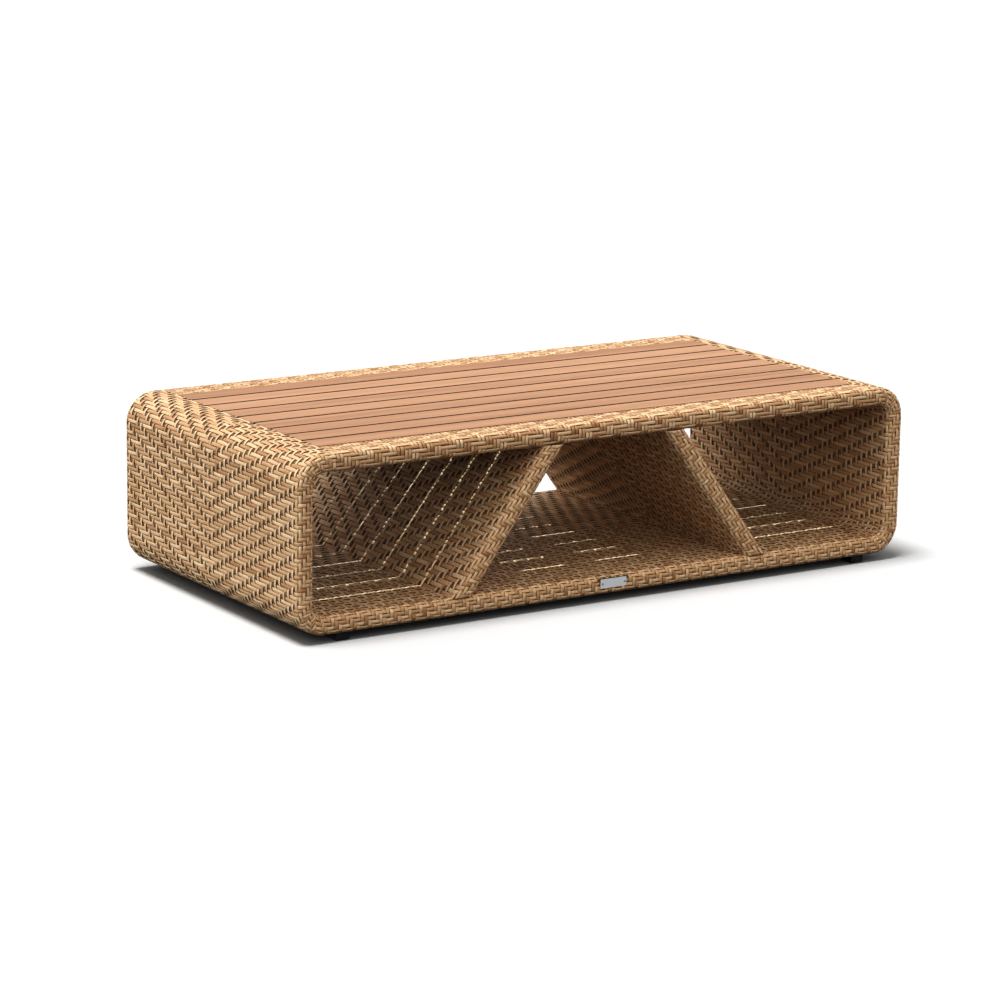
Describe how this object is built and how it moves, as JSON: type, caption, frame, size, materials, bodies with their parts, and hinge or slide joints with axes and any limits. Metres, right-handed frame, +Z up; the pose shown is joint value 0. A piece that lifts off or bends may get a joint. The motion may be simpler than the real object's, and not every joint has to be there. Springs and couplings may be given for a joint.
{
  "type": "wicker coffee table",
  "caption": "Low garden coffee table: a rounded woven ring with three open bays between slanted woven dividers and a slatted wooden top.",
  "frame": {"origin": "on the floor under the middle of the table", "axes": "+X along the length to the right seen from the front, +Y from front to back, +Z up"},
  "size_m": [1.4, 0.684, 0.356],
  "materials": {
    "wicker": "flat woven strip, mixed straw and brown",
    "teak": "sanded, fine straight grain",
    "frame": "dark brown powder coat",
    "foot_plastic": "moulded black nylon",
    "plate": "brushed, blank",
    "rivet": "dull",
    "steel": "zinc plated"
  },
  "bodies": {
    "root": {"deck_wicker": "wicker", "foot_screws": "steel", "front_bottom_rail": "frame", "front_left_bent_tube": "frame", "front_left_foot": "foot_plastic", "front_right_bent_tube": "frame", "front_right_foot": "foot_plastic", "front_rim_wicker": "wicker", "front_slat_rail": "frame", "front_top_rail": "frame", "left_bottom_cross_tube": "frame", "left_deck_cross_tube": "frame", "left_divider_batten": "frame", "left_divider_cross_tube": "frame", "left_divider_front_post": "frame", "left_divider_rear_post": "frame", "left_divider_wicker": "wicker", "left_end_batten": "frame", "left_end_wicker": "wicker", "left_top_cross_tube": "frame", "left_wall_cross_tube": "frame", "middle_batten": "frame", "middle_deck_cross_tube": "frame", "name_plate": "plate", "name_plate_rivets": "rivet", "rear_bottom_rail": "frame", "rear_left_bent_tube": "frame", "rear_left_foot": "foot_plastic", "rear_right_bent_tube": "frame", "rear_right_foot": "foot_plastic", "rear_rim_wicker": "wicker", "rear_slat_rail": "frame", "rear_top_rail": "frame", "right_bottom_cross_tube": "frame", "right_deck_cross_tube": "frame", "right_divider_batten": "frame", "right_divider_cross_tube": "frame", "right_divider_front_post": "frame", "right_divider_rear_post": "frame", "right_divider_wicker": "wicker", "right_end_batten": "frame", "right_end_wicker": "wicker", "right_top_cross_tube": "frame", "right_wall_cross_tube": "frame", "slat_1": "teak", "slat_2": "teak", "slat_3": "teak", "slat_4": "teak", "slat_5": "teak", "slat_6": "teak", "slat_7": "teak", "slat_8": "teak", "slat_9": "teak", "slat_screws": "steel"}
  },
  "joints": []
}
